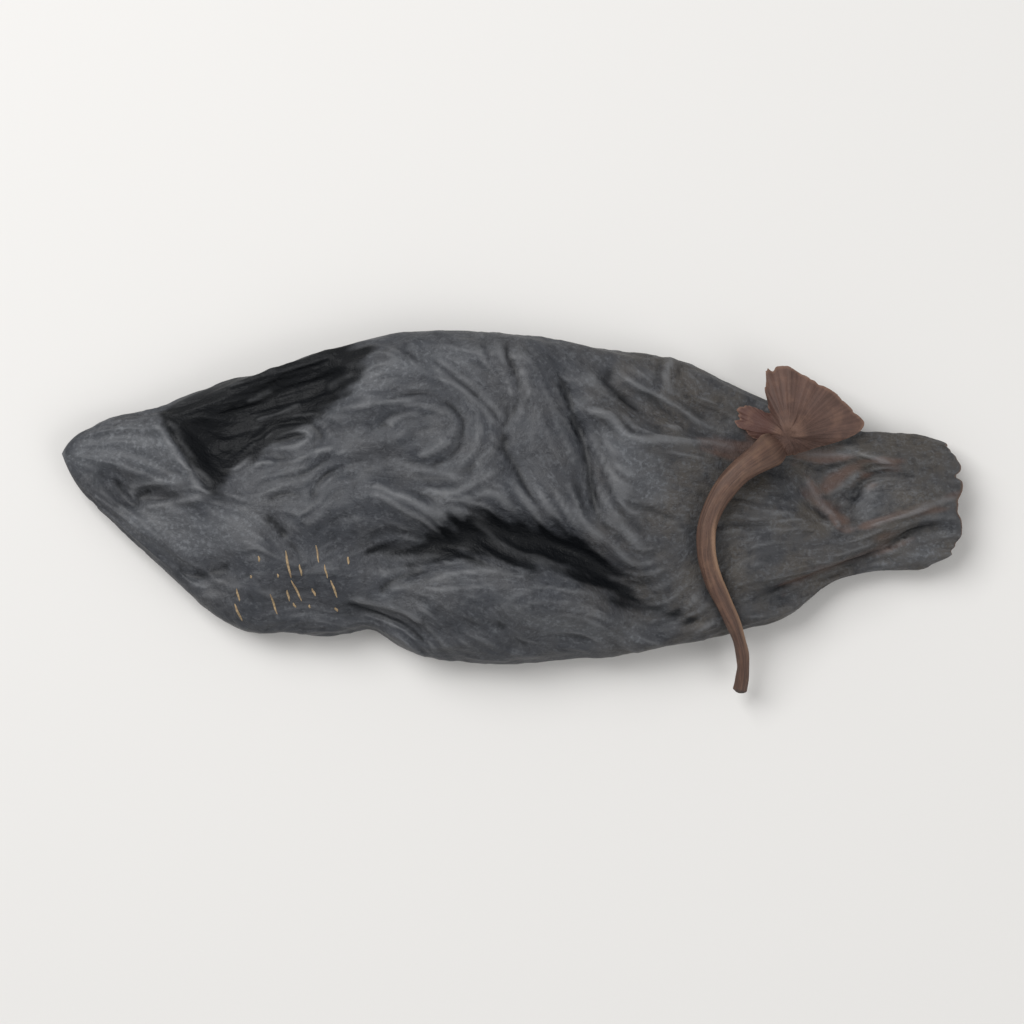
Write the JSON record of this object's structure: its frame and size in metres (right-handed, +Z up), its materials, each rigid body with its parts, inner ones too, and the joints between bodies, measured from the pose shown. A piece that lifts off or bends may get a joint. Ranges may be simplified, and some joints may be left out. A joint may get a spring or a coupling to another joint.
{
  "type": "dried pasilla pepper",
  "caption": "Dried pasilla pepper: a long, pressed, wrinkled dark pod with a torn mouth, and its ruffled calyx and curved stem lying on its shoulder.",
  "frame": {"origin": "the middle of the pepper's box in plan, on the surface that it lies on", "axes": "+X from the pod's tip towards its torn mouth, +Y towards the edge that the calyx lies over, +Z up from the surface"},
  "size_m": [0.1171, 0.0471, 0.0125],
  "materials": {
    "pod_skin": "near-black, wrinkled, satin dried skin, brown and a little reddish along its ridges at the shoulder",
    "calyx": "reddish brown, thin, dry and matt, with fine radial ribs",
    "stem": "brown, dry and matt, with lengthwise furrows"
  },
  "bodies": {
    "root": {"pod": "pod_skin", "calyx": "calyx", "stem": "stem"}
  },
  "joints": []
}
